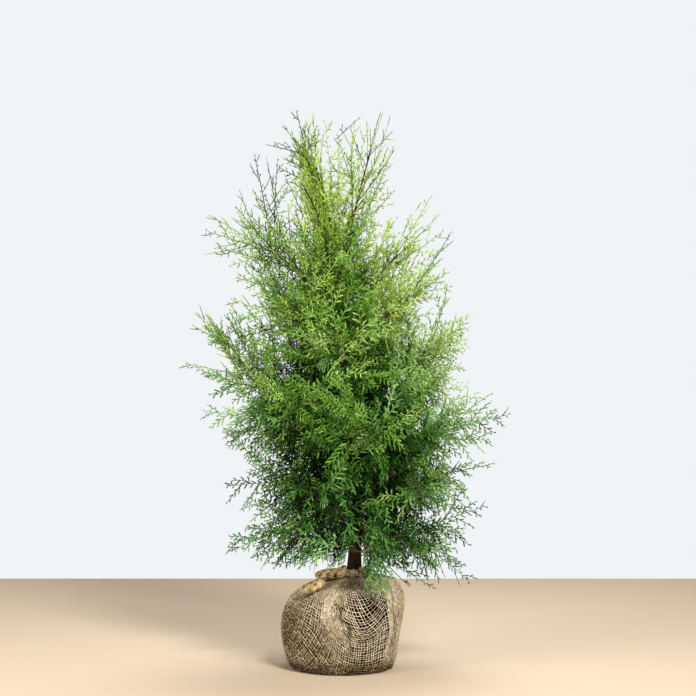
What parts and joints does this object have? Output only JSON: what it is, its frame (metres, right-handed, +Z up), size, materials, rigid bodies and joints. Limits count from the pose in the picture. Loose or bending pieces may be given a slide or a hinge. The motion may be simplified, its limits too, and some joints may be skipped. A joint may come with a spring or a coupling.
{
  "type": "root-balled thuja",
  "caption": "Young multi-tipped evergreen conifer with flat feathery sprays on rising boughs, standing on a soil root ball wrapped in knotted hessian.",
  "frame": {"origin": "centre of the flat underside of the root ball", "axes": "+Z up along the stem, +X to the right and -Y to the front, as the plant is seen in the picture"},
  "size_m": [0.8112, 0.7158, 1.3634],
  "materials": {
    "foliage_low": "matt deep green scale leaves",
    "foliage_high": "matt yellow-green scale leaves",
    "bark": "fibrous red-brown bark",
    "hessian": "open square jute weave over dark soil",
    "hessian_gathered": "golden-brown crumpled jute"
  },
  "bodies": {
    "root": {"bough_1_back": "bark", "bough_1_front": "bark", "bough_1_left": "bark", "bough_1_right": "bark", "bough_2_back_left": "bark", "bough_2_back_right": "bark", "bough_2_front_left": "bark", "bough_2_front_right": "bark", "bough_2_left": "bark", "bough_3_back": "bark", "bough_3_back_left": "bark", "bough_3_front": "bark", "bough_3_front_left": "bark", "bough_3_right": "bark", "bough_4_back": "bark", "bough_4_front": "bark", "bough_4_left": "bark", "bough_4_right": "bark", "bough_5_back_left": "bark", "bough_5_back_right": "bark", "bough_5_front_left": "bark", "bough_5_front_right": "bark", "bough_second_leader": "bark", "cloth_collar": "hessian_gathered", "cloth_tail_lower": "hessian_gathered", "cloth_tail_upper": "hessian_gathered", "foliage_1_back": "foliage_low", "foliage_1_front": "foliage_low", "foliage_1_left": "foliage_low", "foliage_1_right": "foliage_low", "foliage_2_back_left": "foliage_low", "foliage_2_back_right": "foliage_low", "foliage_2_front_left": "foliage_low", "foliage_2_front_right": "foliage_low", "foliage_2_left": "foliage_low", "foliage_3_back": "foliage_low", "foliage_3_back_left": "foliage_low", "foliage_3_front": "foliage_low", "foliage_3_front_left": "foliage_low", "foliage_3_right": "foliage_low", "foliage_4_back": "foliage_low", "foliage_4_front": "foliage_low", "foliage_4_left": "foliage_low", "foliage_4_right": "foliage_low", "foliage_5_back_left": "foliage_high", "foliage_5_back_right": "foliage_high", "foliage_5_front_left": "foliage_high", "foliage_5_front_right": "foliage_high", "foliage_6_back": "foliage_high", "foliage_6_front": "foliage_high", "foliage_6_left": "foliage_high", "foliage_6_right": "foliage_high", "foliage_7_back": "foliage_high", "foliage_7_front_left": "foliage_high", "foliage_leading_shoot": "foliage_high", "foliage_second_leader": "foliage_high", "root_ball": "hessian", "stem": "bark"}
  },
  "joints": []
}
